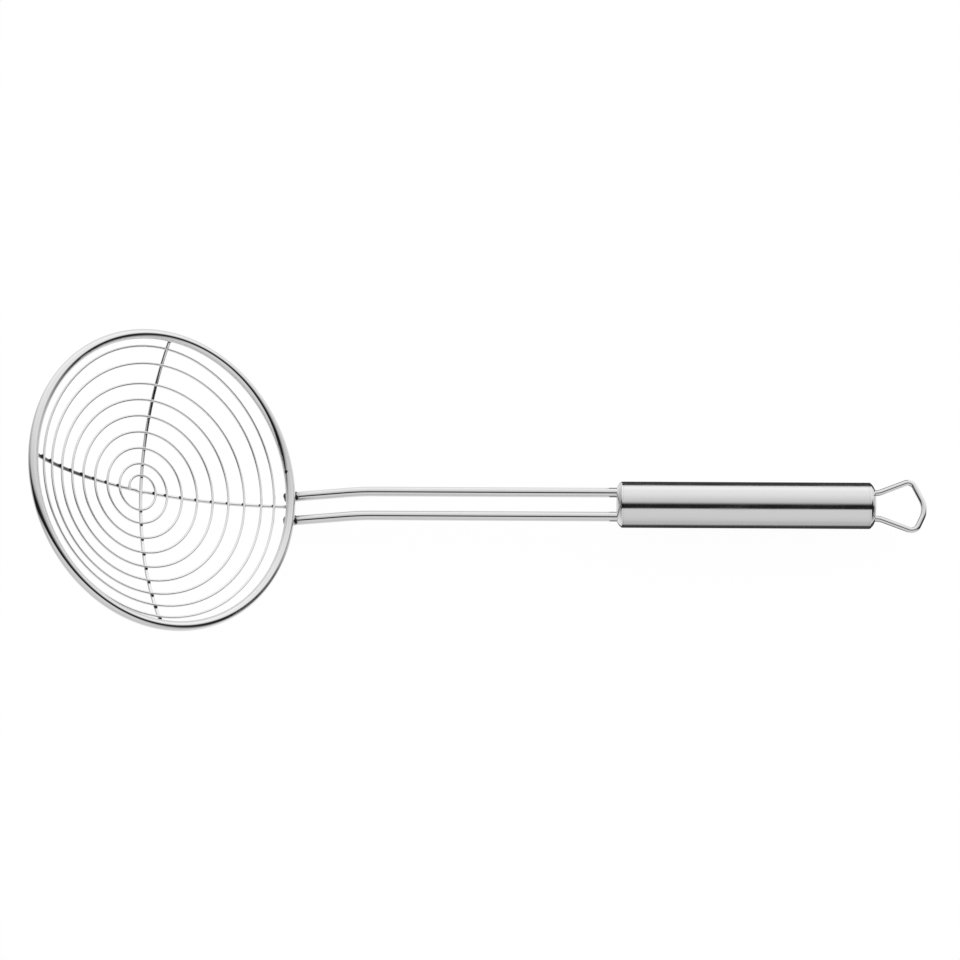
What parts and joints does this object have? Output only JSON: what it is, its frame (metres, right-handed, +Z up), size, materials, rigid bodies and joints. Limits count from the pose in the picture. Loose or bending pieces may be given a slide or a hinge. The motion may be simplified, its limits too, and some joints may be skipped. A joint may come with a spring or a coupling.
{
  "type": "spider skimmer",
  "caption": "Wire spider skimmer: a shallow bowl of spirally wound wire in a round rim, on a twin-rod neck with a tubular grip and a hanging loop.",
  "frame": {"origin": "the point on the table under the middle of the whole skimmer, which lies with its grip level", "axes": "+X from the bowl along the grip to the hanging loop, +Y to the left looking that way, +Z up, out of the open side of the bowl"},
  "size_m": [0.356, 0.124, 0.0837],
  "materials": {
    "polished_wire": "polished stainless steel wire",
    "fine_wire": "bright drawn stainless steel wire",
    "satin_tube": "satin, brushed lengthwise",
    "polished_cap": "polished pressed steel",
    "plain_steel": "plain, out of sight"
  },
  "bodies": {
    "root": {"rim_hoop": "polished_wire", "mesh_spiral": "fine_wire", "cross_wire_side": "fine_wire", "cross_wire_long": "fine_wire", "neck_rod_left": "polished_wire", "neck_rod_right": "polished_wire", "grip_tube": "satin_tube", "front_cap": "polished_cap", "rear_cap": "polished_cap", "rod_brace": "plain_steel", "hanging_loop": "polished_wire"}
  },
  "joints": []
}
